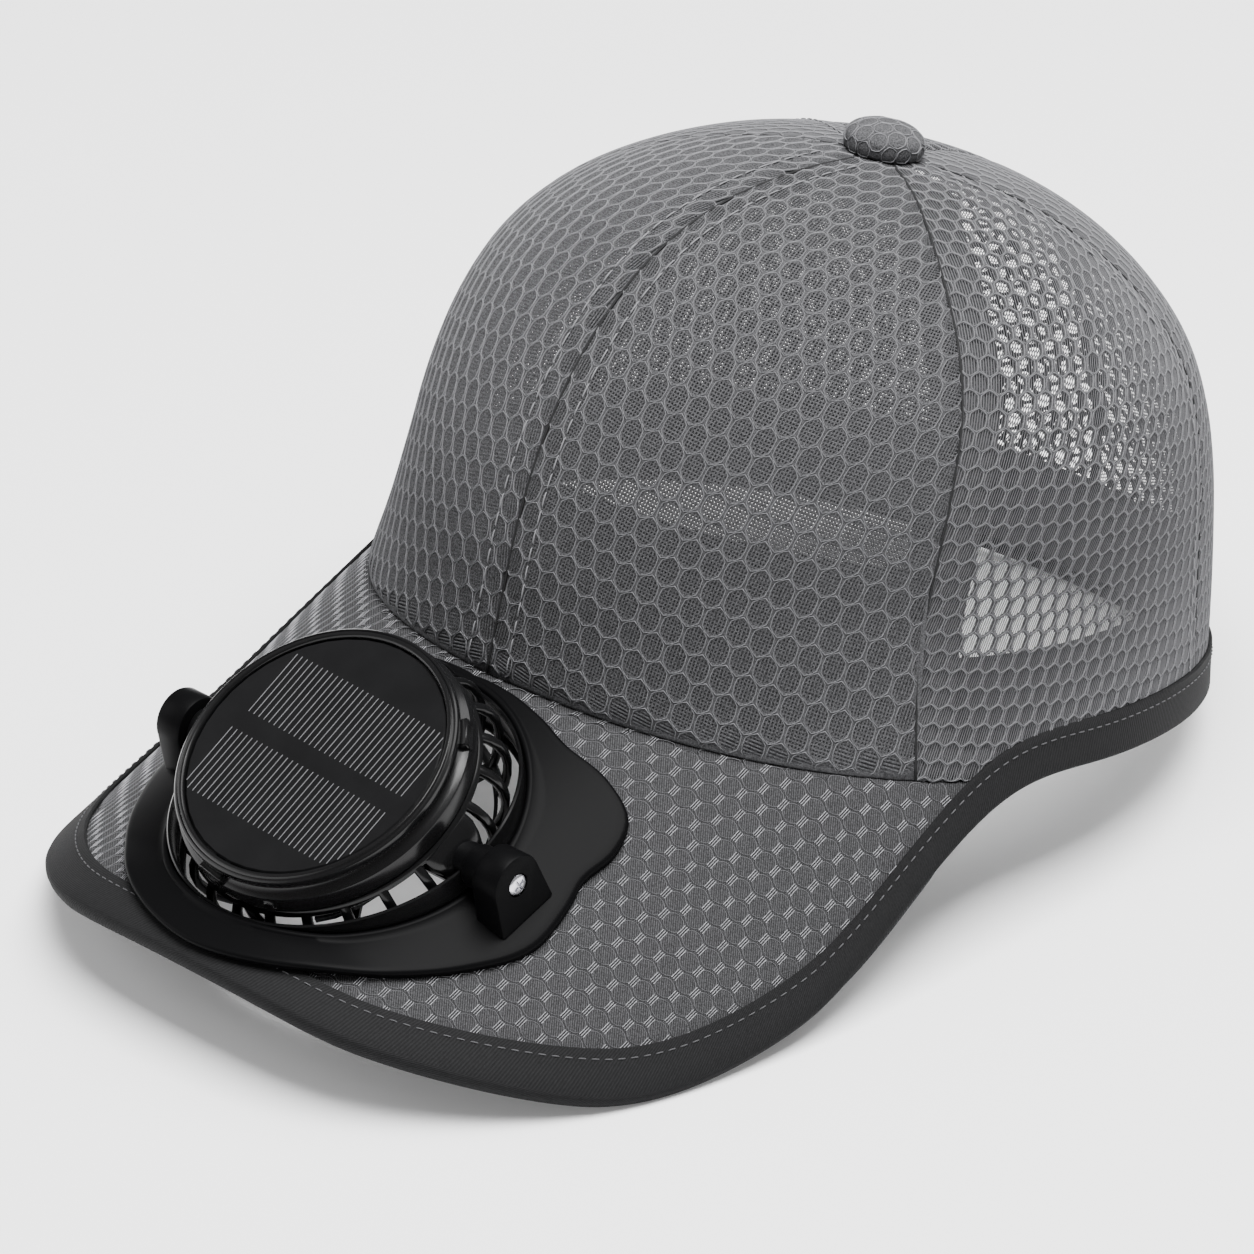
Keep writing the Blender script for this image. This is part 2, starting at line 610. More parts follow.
def add_strands(cloth, centres, half_width, half_height, roundness, finish, half=STRAND_HALF,
                rise=STRAND_RISE):
    """The raised thread round each cell, as a closed ring with a ridge."""
    grows = (-half, 0.0, half)
    form = np.vstack([cell_outline(half_width + grow, half_height + grow, roundness) for grow in grows])
    proud = np.repeat((-STRAND_SINK, rise, -STRAND_SINK), CELL_SIDES)
    cloth.add(centres[:, None, :] + form[None], proud, ring_faces(3, CELL_SIDES, True), finish)


def add_lattice(cloth, centres, opening, thick, finish):
    """The cut cloth round each cell's opening, with its thickness."""
    edge = cell_outline(CELL_WIDTH / 2, CELL_HEIGHT / 2, 0.0)
    form = np.vstack([edge, opening, opening, edge])
    proud = np.repeat((0.0, 0.0, -thick, -thick), CELL_SIDES)
    cloth.add(centres[:, None, :] + form[None], proud, ring_faces(4, CELL_SIDES, False), finish)


def add_threads(cloth, centres, places, lengths, half_width, depth, across, finish):
    """Straight threads over each cell's opening, running up the cloth or across it."""
    faces = ((0, 1, 4, 3), (1, 2, 5, 4), (2, 0, 3, 5))
    for place, length in zip(places, lengths):
        corners = []
        for end in (-length, length):
            for side in (-half_width, 0.0, half_width):
                corners.append((end, place + side) if across else (place + side, end))
        proud = np.array((0.0, half_width, 0.0) * 2) - depth
        cloth.add(centres[:, None, :] + np.array(corners)[None], proud, faces, finish)


def honeycomb(u_low, u_high, v_low, v_high):
    """Centres of the knit's cells over a rectangle, each second row set half a cell aside."""
    rows = np.arange(math.floor(v_low / CELL_ROW), math.ceil(v_high / CELL_ROW) + 1)
    columns = np.arange(math.floor(u_low / CELL_WIDTH) - 1, math.ceil(u_high / CELL_WIDTH) + 2)
    u, v = np.meshgrid(columns.astype(float), rows.astype(float))
    u = (u + 0.5 * (rows[:, None] % 2)) * CELL_WIDTH
    return np.stack([u.ravel(), (v * CELL_ROW).ravel()], axis=-1)


def crown_panel_object(name, start, end, see_through):
    """A panel of cut honeycomb knit: the pierced cloth, its fill of fine threads and its raised cells."""
    shape = CrownPanel(start, end)
    widest, longest = shape.half_width(0.0), shape.length()
    knit = SIDE_KNIT if see_through else FRONT_KNIT
    warp = np.array(knit.warp)
    if start < 0:
        warp = warp * ((1, -1), (-1, 1))
    side = widest + 0.5 * longest
    centres = honeycomb(-side, side, -0.3 * widest, longest + 0.3 * widest)
    placed = centres @ warp.T
    reach = shape.half_width(placed[:, 1]) + 0.35 * CELL_WIDTH
    inside = (np.abs(placed[:, 0]) < reach) & (placed[:, 1] > -0.4 * CELL_HEIGHT)
    inside &= placed[:, 1] < longest + 0.3 * CELL_HEIGHT
    centres = centres[inside]
    half_width, half_height = CELL_WIDTH / 2, CELL_HEIGHT / 2
    cloth = Cloth()
    wide, high, roundness = knit.opening
    add_lattice(cloth, centres, cell_outline(wide * half_width, high * half_height, roundness), KNIT_CLOTH, 0)
    for row in knit.threads:
        own, other = (half_width, half_height) if row.across else (half_height, half_width)
        places = np.linspace(-1, 1, row.count) * row.spread * MM
        lengths = own * (row.reach - row.loss * np.abs(places) / other)
        add_threads(cloth, centres, places, lengths, row.half * MM, row.depth * MM, row.across, 2)
    inset_across, inset_along = PANEL_STRAND_INSET
    add_strands(cloth, centres, half_width - inset_across, half_height - inset_along,
                knit.strand_roundness, 1, knit.strand_half)
    flat, proud, faces, finish = cloth.arrays()
    flat = flat @ warp.T
    limit = shape.half_width(flat[:, 1]) - SEAM_GAP / 2
    at_side = np.where(flat[:, 0] > limit, 1, np.where(flat[:, 0] < -limit, 2, 0))
    at_end = np.where(flat[:, 1] < 0, 1, np.where(flat[:, 1] > shape.length(), 2, 0))
    flat[:, 0] = np.clip(flat[:, 0], -limit, limit)
    flat[:, 1] = np.clip(flat[:, 1], 0, shape.length())
    spent = np.zeros(len(faces), bool)
    for kind in (1, 2):
        spent |= (at_side[faces] == kind).all(axis=1) | (at_end[faces] == kind).all(axis=1)
    to_seam = limit - np.abs(flat[:, 0])
    proud = proud - SEAM_DIP * np.exp(-to_seam / SEAM_DIP_WIDTH)
    if not see_through:
        proud = proud - EDGE_DIP * np.exp(-flat[:, 1] / EDGE_DIP_WIDTH)
    used, compact = np.unique(faces[~spent], return_inverse=True)
    points = shape.place(flat[used, 0], flat[used, 1], -proud[used])
    finishes = [finish_of[key] for key in ("knit", "strand", "mesh_thread" if see_through else "fill")]
    made = new_object(name + "_knit", points, compact.reshape(-1, 4), "cap", finishes,
                      finish[~spent], flat[used] / MM)
    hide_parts(name)


def seam_strip(name, seam, side_widths, depths, cloth):
    """A strip of cloth along a seam, between two depths below the crown's surface."""
    rows, columns, step = 60, 12, 0.01
    heights = np.sin(np.linspace(0.0, math.asin(SEAM_TOP_SHARE), rows))
    low, high = side_widths
    shares = np.linspace(-low, high, columns + 1)
    outer, inner = [], []
    for height in heights:
        chord = np.linalg.norm(crown_points(seam + step, height) - crown_points(seam - step, height))
        turns = seam + np.clip(shares / max(chord / (2 * step), MM), -SEAM_MOST_TURN, SEAM_MOST_TURN)
        outer.append(crown_points(turns, height, depths[0]))
        inner.append(crown_points(turns, height, depths[1]))
    points, faces = closed_sheet(np.array(outer), np.array(inner))
    made = new_object(name, to_world(points), faces, "cap", [finish_of[cloth]])


def front_lining():
    """The lining behind the foot of the front panels, turned under at the crown's edge over the peak."""
    down = np.linspace(LINING_HEIGHT, MM, LINING_ROWS)
    up = np.linspace(MM, LINING_HEIGHT, LINING_ROWS)
    rise = np.concatenate([down, np.array((0.2, -0.15, 0.2)) * MM, up])
    inset = np.concatenate([np.full(LINING_ROWS, 0.55), (0.62, 0.95, 1.35), np.full(LINING_ROWS, 1.4)]) * MM
    phi = TEMPLE_ANGLE * np.linspace(-1, 1, LINING_STATIONS)
    top = np.where(np.abs(phi) > SIDE_SEAM_ANGLE, LINING_TEMPLE_HEIGHT / LINING_HEIGHT, 1.0)[:, None]
    rises = np.where(rise[None] > MM, MM + (rise[None] - MM) * top, rise[None])
    sides = len(rise)
    rings = above_rim(np.repeat(phi[:, None], sides, axis=1), rises, np.broadcast_to(inset, rises.shape))
    faces = ring_faces(LINING_STATIONS, sides, False)
    last = (LINING_STATIONS - 1) * sides
    faces += [tuple(range(sides))[::-1], tuple(range(last, last + sides))]
    made = new_object("front_lining", to_world(rings.reshape(-1, 3)), faces, "cap", [finish_of["backing"]])
    made.data.set_sharp_from_angle(angle=math.radians(50))


def closed_sheet(outer, inner):
    """Points and quads of a wall between two grids of points."""
    rows, columns, _ = outer.shape
    points = np.vstack([outer.reshape(-1, 3), inner.reshape(-1, 3)])
    back = rows * columns
    faces = []
    for row in range(rows - 1):
        for column in range(columns - 1):
            corner = row * columns + column
            quad = (corner, corner + 1, corner + columns + 1, corner + columns)
            faces.append(quad)
            faces.append(tuple(back + k for k in reversed(quad)))
    for row in range(rows - 1):
        for column, flip in ((0, False), (columns - 1, True)):
            corner = row * columns + column
            quad = (corner, corner + columns, back + corner + columns, back + corner)
            faces.append(tuple(reversed(quad)) if flip else quad)
    for column in range(columns - 1):
        for row, flip in ((0, True), (rows - 1, False)):
            corner = row * columns + column
            quad = (corner, corner + 1, back + corner + 1, back + corner)
            faces.append(tuple(reversed(quad)) if flip else quad)
    return points, faces


def stitches(name, line, normals, kind, finish="stitch"):
    """A row of sewn stitches along a line of world places, each a small thread that dips at its ends."""
    stitch, gap, half_width = kind
    spans = running_length(line)
    count = int(spans[-1] / (stitch + gap))
    sides = STITCH_SIDES
    lifts, sizes = STITCH_LIFTS * half_width, STITCH_SIZES * half_width
    starts = np.arange(count) * (stitch + gap) + gap / 2
    at = starts[:, None] + STITCH_SHARES[None] * stitch

    def read(values, places):
        return np.stack([np.interp(places, spans, values[:, k]) for k in range(3)], axis=-1)

    centre, up = read(line, at), read(normals, at)
    up /= np.linalg.norm(up, axis=-1, keepdims=True)
    ahead = read(line, at + 0.05 * MM) - read(line, at - 0.05 * MM)
    ahead /= np.maximum(np.linalg.norm(ahead, axis=-1, keepdims=True), 1e-9)
    across = np.cross(ahead, up)
    centre = centre + up * lifts[None, :, None]
    turns = 2 * np.pi * np.arange(sides) / sides
    ring = across[:, :, None] * np.cos(turns)[:, None] + up[:, :, None] * np.sin(turns)[:, None]
    points = centre[:, :, None] + ring * sizes[None, :, None, None]
    faces = np.array(ring_faces(len(STITCH_SHARES), sides, False))
    step = len(STITCH_SHARES) * sides
    quads = (faces[None] + (np.arange(count) * step)[:, None, None]).reshape(-1, 4)
    caps = []
    for k in range(count):
        first, last = k * step, (k + 1) * step - sides
        caps.append(tuple(reversed(range(first, first + sides))))
        caps.append(tuple(range(last, last + sides)))
    faces = [tuple(quad) for quad in quads] + caps
    made = new_object(name, points.reshape(-1, 3), faces, "cap", [finish_of[finish]])


def seam_stitches(name, start, end, offset):
    """A row of stitches up a panel, at a distance from its seam."""
    shape = CrownPanel(start, end)
    v = np.linspace(2 * MM, shape.length() - 6 * MM, 260)
    edge = shape.half_width(v)
    side = -1 if offset > 0 else 1
    inward = np.minimum(abs(offset), edge * 0.8)
    u = side * (edge - inward)
    line = shape.place(u, v, -STRAND_RISE)
    normals = shape.place(u, v, -3 * MM) - line
    stitches(name, line, normals, SEAM_STITCH, "seam_thread")


# The peak

def in_outline(points, outline):
    """Whether places lie inside a closed outline."""
    x, y = points[:, 0][:, None], points[:, 1][:, None]
    start, end = outline, np.roll(outline, -1, axis=0)
    crosses = (start[:, 1] > y) != (end[:, 1] > y)
    slope = (end[:, 0] - start[:, 0]) / np.where(end[:, 1] == start[:, 1], 1e-12, end[:, 1] - start[:, 1])
    return (crosses & (x < slope * (y - start[:, 1]) + start[:, 0])).sum(axis=1) % 2 == 1


def edge_distance(points, edge):
    return np.linalg.norm(points[:, None, :] - edge[None], axis=2).min(axis=1)


def build_peak():
    edge = peak_edge(PEAK_STATIONS)
    turns = TEMPLE_ANGLE * np.linspace(-1, 1, PEAK_STATIONS)
    root = crown_points(turns, 0.0, CROWN_CLOTH)[:, :2]
    hidden = over_rim_share(edge)[:, None]
    board_edge = edge * (1 - hidden) + root * hidden * 0.98 + edge * hidden * 0.02
    shares = np.linspace(0, 1, 30)[None, :, None]
    places = board_edge[:, None] * (1 - shares) + root[:, None] * shares
    outer = peak_points(places[..., 0], places[..., 1])
    inner = peak_points(places[..., 0], places[..., 1], -PEAK_BOARD)
    points, faces = closed_sheet(outer, inner)
    board = new_object("peak_cloth", to_world(points), faces, "cap", [finish_of["peak"]],
                       uv=points[:, :2] / MM)
    cutter = turned("peak_cutter", ((0, -30), (HOLE_RADIUS / MM, -30), (HOLE_RADIUS / MM, 30), (0, 30)),
                    MODULE, 96)
    cut(board, [cutter])
    board.data.shade_smooth()
    board.data.set_sharp_from_angle(angle=math.radians(40))
    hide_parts("peak")
    build_peak_knit(edge)


def build_peak_knit(edge):
    """The honeycomb cells on the peak, with three bright dashes between neighbours in a row."""
    slant = math.cos(math.atan(PEAK_SLOPE))
    table_x = np.linspace(0, 1.05 * PEAK_HALF_WIDTH, 400)
    arch = PEAK_ARCH * (table_x / PEAK_HALF_WIDTH) ** PEAK_ARCH_POWER
    table_u = np.concatenate([[0.0], np.cumsum(np.hypot(np.diff(table_x), np.diff(arch)))])

    def to_plan(flat):
        flat = flat @ np.array(PEAK_WARP).T
        x = np.sign(flat[:, 0]) * np.interp(np.abs(flat[:, 0]), table_u, table_x)
        return np.stack([x, flat[:, 1] * slant], axis=-1)

    reach = (CROWN_FRONT + PEAK_LENGTH) / slant
    across = table_u[-1]
    centres = honeycomb(-across, across, -reach - 0.5 * across, 0.2 * CROWN_FRONT + 0.5 * across)
    plan = to_plan(centres)
    keep = in_outline(plan, edge) & (edge_distance(plan, edge) > PEAK_TAPE_WIDTH - 2.2 * MM)
    keep &= np.hypot(plan[:, 0] / CROWN_HALF_WIDTH, plan[:, 1] / CROWN_FRONT) > 0.99
    keep &= hole_distance(plan) > HOLE_RADIUS + 0.3 * MM
    centres = centres[keep]
    cloth = Cloth()
    half_width, half_height = CELL_WIDTH / 2, CELL_HEIGHT / 2
    for inset_across, inset_along, key, half, rise in PEAK_RINGS:
        add_strands(cloth, centres, half_width - inset_across * MM, half_height - inset_along * MM,
                    PEAK_RING_ROUNDNESS, key, half * MM, rise * MM)
    lengths = np.full(len(PEAK_DASHES), PEAK_DASH_HALF_LENGTH)
    add_threads(cloth, centres, half_width + PEAK_DASHES, lengths, PEAK_DASH_HALF_WIDTH, -PEAK_DASH_LIFT,
                False, 1)
    flat, proud, faces, finish = cloth.arrays()
    plan = to_plan(flat)
    near = hole_distance(plan)
    push = np.maximum(1.0, (HOLE_RADIUS + 0.2 * MM) / near)[:, None]
    plan = PIVOT_PLAN + (plan - PIVOT_PLAN) * push
    points = to_world(peak_points(plan[:, 0], plan[:, 1], proud))
    finishes = [finish_of[key] for key in ("peak_strand", "peak_dash", "peak_groove")]
    made = new_object("peak_knit", points, faces, "cap", finishes, finish, flat / MM)


def hole_distance(plan):
    """How far places on the peak lie from the fan module's axis."""
    spots = to_world(peak_points(plan[:, 0], plan[:, 1])) - np.array(PIVOT)
    normal = np.array(MODULE.to_3x3() @ Vector((0, 0, 1)))
    return np.linalg.norm(spots - np.outer(spots @ normal, normal), axis=1)


# The tape round the peak and the rim

OUTER_LEG = np.array((1.0, 0.97, 0.76, 0.38, 0.0))
WRAP = np.radians((60, 30, 0, -30, -60))


def peak_tape(edge, root, width):
    """Rings of the tape folded round the peak's edge."""
    towards = (root - edge) / np.linalg.norm(root - edge, axis=1, keepdims=True)
    near, far, middle = FIT_GAP, FIT_GAP + TAPE, -PEAK_BOARD / 2
    rows = [(width * share, far - (0.55 * TAPE if share == 1.0 else 0)) for share in OUTER_LEG]
    wrap = PEAK_BOARD / 2 + far
    rows += [(-far * math.cos(turn), middle + wrap * math.sin(turn)) for turn in WRAP]
    rows += [(width * share, -PEAK_BOARD - far) for share in (0.0, 0.5, 1.0)]
    rows += [(width, -PEAK_BOARD - near), (0.0, -PEAK_BOARD - near), (-near, middle)]
    rows += [(0.0, near), (width, near)]
    rings = []
    for distance, offset in rows:
        place = edge + towards * np.reshape(distance, (-1, 1))
        rings.append(peak_points(place[:, 0], place[:, 1], offset))
    return np.stack(rings, axis=1)


def rim_tape(phi, width):
    """Rings of the tape folded round the crown's rim."""
    near, far, middle = FIT_GAP, FIT_GAP + TAPE, CROWN_CLOTH / 2
    inside = CROWN_CLOTH + near
    rows = [(-far + (0.55 * TAPE if share == 1.0 else 0), width * share) for share in OUTER_LEG]
    wrap = CROWN_CLOTH / 2 + far
    rows += [(middle - wrap * math.sin(turn), -far * math.cos(turn)) for turn in WRAP]
    rows += [(inside + TAPE, RIM_TAPE_INSIDE * share) for share in (0.0, 0.5, 1.0)]
    rows += [(inside, RIM_TAPE_INSIDE), (inside, 0.0), (middle, -near), (-near, 0.0), (-near, width)]
    return np.stack([above_rim(phi, np.broadcast_to(rise, phi.shape), inset) for inset, rise in rows], axis=1)


def over_rim_share(edge):
    """How far the tape has left the peak's edge for the crown's rim, which it does near the temples."""
    spans = running_length(edge)
    to_temple = np.minimum(spans, spans[-1] - spans)
    return 1 - smoothstep(to_temple / TAPE_TURN)


def eased(rings, rim_side):
    """The tape's rings with its turns at the temples smoothed into one another."""
    kernel = np.exp(-0.5 * (np.arange(-3 * TAPE_EASE, 3 * TAPE_EASE + 1) / TAPE_EASE) ** 2)
    kernel /= kernel.sum()
    count = len(rings)
    reach = len(kernel) // 2
    padded = np.concatenate([rings[-reach:], rings, rings[:reach]])
    smooth = sum(weight * padded[k:k + count] for k, weight in enumerate(kernel))
    station = np.arange(count)
    gaps = [np.abs((station - temple + count / 2) % count - count / 2) for temple in (0, rim_side)]
    share = 1 - smoothstep((np.minimum(*gaps) - TAPE_EASE) / (2.5 * TAPE_EASE))
    return rings * (1 - share)[:, None, None] + smooth * share[:, None, None]


def build_binding():
    """One length of tape round the peak's edge and on round the crown's free rim."""
    edge = peak_edge(PEAK_STATIONS)
    turns = TEMPLE_ANGLE * np.linspace(-1, 1, PEAK_STATIONS)
    root = crown_points(turns, 0.0, CROWN_CLOTH)[:, :2]
    room = np.linalg.norm(root - edge, axis=1) - CROWN_CLOTH - 2 * FIT_GAP
    width = np.minimum(PEAK_TAPE_WIDTH, room)
    over_rim = over_rim_share(edge)
    phi = np.arctan2(edge[:, 0] / CROWN_HALF_WIDTH, -edge[:, 1] / CROWN_FRONT)
    on_peak, on_rim = peak_tape(edge, root, width), rim_tape(phi, RIM_TAPE_WIDTH)
    rings = on_peak * (1 - over_rim)[:, None, None] + on_rim * over_rim[:, None, None]
    first = abs(phi[-1])
    step = (2 * math.pi - 2 * first) / (RIM_STATIONS + 1)
    rear = first + step * np.arange(1, RIM_STATIONS + 1)
    rings = eased(np.vstack([rings, rim_tape(rear, RIM_TAPE_WIDTH)]), PEAK_STATIONS)
    count, sides, _ = rings.shape
    rings = to_world(rings.reshape(-1, 3)).reshape(-1, sides, 3)
    lengths = running_length(rings[:, 4])
    uv = np.stack([np.repeat(lengths, sides) / MM, np.tile(np.arange(sides) * 1.2, count)], axis=-1)
    made = new_object("edge_tape", rings.reshape(-1, 3), ring_faces(count, sides, True), "cap",
                      [finish_of["tape"]], uv=uv)
    made.data.set_sharp_from_angle(angle=math.radians(50))
    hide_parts("peak_binding", "rim_binding")
    loop = np.vstack([rings[:, 2], rings[:1, 2]])
    ahead = np.roll(rings[:, 2], -1, axis=0) - np.roll(rings[:, 2], 1, axis=0)
    normals = np.cross(ahead, rings[:, 3] - rings[:, 1])
    outward = rings[:, 2] - rings[:, 16] * 0.5 - rings[:, 17] * 0.5
    normals *= np.sign((normals * outward).sum(axis=1))[:, None]
    stitches("edge_tape_stitches", loop, np.vstack([normals, normals[:1]]), TAPE_STITCH)


# The inner band and the button

def build_sweatband():
    """The folded band inside the rim, with a rounded top edge and a row of stitches."""
    stations, rise_steps = 220, np.linspace(0.0, 1.0, 9)
    phi = 2 * np.pi * np.arange(stations) / stations
    near = CROWN_CLOTH + BAND_CLEARANCE
    middle, half = near + BAND_CLOTH / 2, BAND_CLOTH / 2
    top, low = BAND_START + BAND_HEIGHT - half, BAND_START + half
    rises, turns = low + (BAND_HEIGHT - 2 * half) * rise_steps, np.radians((45, 90, 135))
    rows = [(near, rise) for rise in rises]
    rows += [(middle - half * math.cos(turn), top + half * math.sin(turn)) for turn in turns]
    rows += [(near + BAND_CLOTH, rise) for rise in rises[::-1]]
    rows += [(middle + half * math.cos(turn), low - half * math.sin(turn)) for turn in turns]
    rings = np.stack([above_rim(phi, np.full(stations, rise), inset) for inset, rise in rows], axis=1)
    sides = len(rows)
    round_rim = np.repeat(phi * CROWN_HALF_WIDTH / MM, sides)
    uv = np.stack([round_rim, np.tile(np.arange(sides) * 3.0, stations)], axis=-1)
    made = new_object("inner_band", to_world(rings.reshape(-1, 3)), ring_faces(stations, sides, True), "cap",
                      [finish_of["band"]], uv=uv)
    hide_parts("sweatband")
    turns = np.linspace(0, 2 * np.pi, 400)
    rise = np.full(len(turns), top - 2 * MM)
    line = to_world(above_rim(turns, rise, near + BAND_CLOTH))
    inner = to_world(above_rim(turns, rise, near + BAND_CLOTH + MM))
    stitches("inner_band_stitches", line, inner - line, BAND_STITCH)


def button_place(reach, turn, proud):
    """Places on the button's cover from the distance from its middle along the cloth, and a direction."""
    angle = np.linspace(0, np.pi / 2, 40)
    waist = 0.38 * BUTTON_HEIGHT
    radius = np.concatenate([BUTTON_RADIUS * np.sin(angle), [BUTTON_RADIUS, 0.95 * BUTTON_RADIUS]])
    height = np.concatenate([waist + (BUTTON_HEIGHT - waist) * np.cos(angle), [waist / 2, 0.0]]) + FIT_GAP
    along = np.concatenate([[0.0], np.cumsum(np.hypot(np.diff(radius), np.diff(height)))])
    slope_r, slope_h = np.gradient(radius, along), np.gradient(height, along)
    r = np.interp(reach, along, radius) - np.interp(reach, along, slope_h) * proud
    h = np.interp(reach, along, height) + np.interp(reach, along, slope_r) * proud
    local = np.stack([r * np.cos(turn), r * np.sin(turn), h], axis=-1)
    lean = Matrix.Rotation(-math.atan(TOP_LEAN), 4, "X")
    seat = CAP @ Matrix.Translation(Vector(crown_points(0.0, 1.0))) @ lean
    return local @ np.array(seat.to_3x3()).T + np.array(seat.to_translation()), along[-1]


def build_button():
    """The domed button, covered with the same knit."""
    sides, rows = 48, 26
    full = button_place(np.zeros(1), np.zeros(1), np.zeros(1))[1]
    reach = np.linspace(0.02, 1.0, rows) * full
    turns = 2 * np.pi * np.arange(sides) / sides
    rings = button_place(reach[:, None], turns[None, :], np.zeros((rows, sides)))[0]
    points = rings.reshape(-1, 3)
    faces = ring_faces(rows, sides, False)
    faces += [tuple(range(sides))[::-1], tuple(range((rows - 1) * sides, rows * sides))]
    flat = np.stack([reach[:, None] * np.cos(turns), reach[:, None] * np.sin(turns)], axis=-1)
    cover = new_object("button_cover", points, faces, "cap", [finish_of["fill"]], uv=flat.reshape(-1, 2) / MM)
    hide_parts("button")
    centres = honeycomb(-full, full, -full, full)
    centres = centres[np.hypot(centres[:, 0], centres[:, 1]) < full - 0.2 * CELL_WIDTH]
    cloth = Cloth()
    add_strands(cloth, centres, CELL_WIDTH / 2 - 0.36 * MM, CELL_HEIGHT / 2 - 0.12 * MM, 0.6, 0)
    flat, proud, faces, finish = cloth.arrays()
    reach = np.minimum(np.hypot(flat[:, 0], flat[:, 1]), full)
    points, _ = button_place(reach, np.arctan2(flat[:, 1], flat[:, 0]), proud)
    knit = new_object("button_knit", points, faces, "cap", [finish_of["strand"]], finish, flat / MM)


# Hard pieces

def turned(name, profile, place, sides=128, finish=None, body=None, sharp=40):
    """A closed solid of revolution about a frame's Z from radius and height pairs in millimetres."""
    shape = bmesh.new()
    turns = [2 * math.pi * k / sides for k in range(sides)]
    rings = []
    for radius, height in profile:
        if radius == 0:
            rings.append([shape.verts.new(place @ Vector((0, 0, height * MM)))])
            continue
        ring = [Vector((radius * math.cos(turn), radius * math.sin(turn), height)) * MM for turn in turns]
        rings.append([shape.verts.new(place @ point) for point in ring])
    loop = list(zip(rings, rings[1:]))
    if profile[0][0] != 0:
        loop.append((rings[-1], rings[0]))
    for low, high in loop:
        for k in range(sides):
            after = (k + 1) % sides
            corners = [low[k % len(low)], low[after % len(low)], high[after % len(high)], high[k % len(high)]]
            distinct = list(dict.fromkeys(corners))
            if len(distinct) > 2:
                shape.faces.new(distinct)
    bmesh.ops.recalc_face_normals(shape, faces=shape.faces)
    return finished(name, shape, finish, body, sharp)


def finished(name, shape, finish, body, sharp=40):
    mesh = bpy.data.meshes.new(name)
    shape.to_mesh(mesh)
    shape.free()
    mesh.shade_smooth()
    mesh.set_sharp_from_angle(angle=math.radians(sharp))
    made = linked(name, mesh)
    if finish:
        mesh.materials.append(finish_of[finish])
    if body:
        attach(made, body)
    return made


def add_box(shape, place, size):
    """Adds a box about a frame's origin, with its size in millimetres."""
    corners = bmesh.ops.create_cube(shape, size=1.0)["verts"]
    scale = Matrix.Diagonal([side * MM for side in size] + [1])
    bmesh.ops.transform(shape, matrix=place @ scale, verts=corners)


def cut(target, tools):
    """Cuts the tools out of a piece for good, and removes the tools."""
    for tool in tools:
        step = target.modifiers.new("cut", "BOOLEAN")
        step.operation = "DIFFERENCE"
        step.solver = "EXACT"
        step.object = tool
    bpy.context.view_layer.update()
    shown = target.evaluated_get(bpy.context.evaluated_depsgraph_get())
    mesh = bpy.data.meshes.new_from_object(shown)
    old = target.data
    target.modifiers.clear()
    target.data = mesh
    bpy.data.meshes.remove(old)
    for tool in tools:
        bpy.data.objects.remove(tool)


def swept(sections):
    """A closed bmesh through sections with the same number of points."""
    shape = bmesh.new()
    rings = [[shape.verts.new(point) for point in ring] for ring in sections]
    for ring, following in zip(rings, rings[1:]):
        for k in range(len(ring)):
            after = (k + 1) % len(ring)
            shape.faces.new((ring[k], ring[after], following[after], following[k]))
    shape.faces.new(rings[0])
    shape.faces.new(list(reversed(rings[-1])))
    bmesh.ops.recalc_face_normals(shape, faces=shape.faces)
    return shape


def over_peak(across, uphill_by, offset):
    """Places of the module's plane lifted along its axis until they lie an offset over the peak."""
    across, uphill_by, offset = np.broadcast_arrays(across, uphill_by, offset)
    base = PIVOT_CAP + across[..., None] * np.array((1.0, 0, 0)) + uphill_by[..., None] * UPHILL
    height = np.zeros(across.shape)
    for _ in range(10):
        spot = base + height[..., None] * NORMAL
        height = height + (peak_height(spot[..., 0], spot[..., 1]) - spot[..., 2]) * math.cos(MODULE_TILT)
    return base + (height + offset)[..., None] * NORMAL


def plate_lift(uphill_by):
    over_tape = smoothstep((-0.75 * OPENING_RADIUS - uphill_by) / (0.3 * OPENING_RADIUS))
    return FIT_GAP + (TAPE + 2 * FIT_GAP) * over_tape


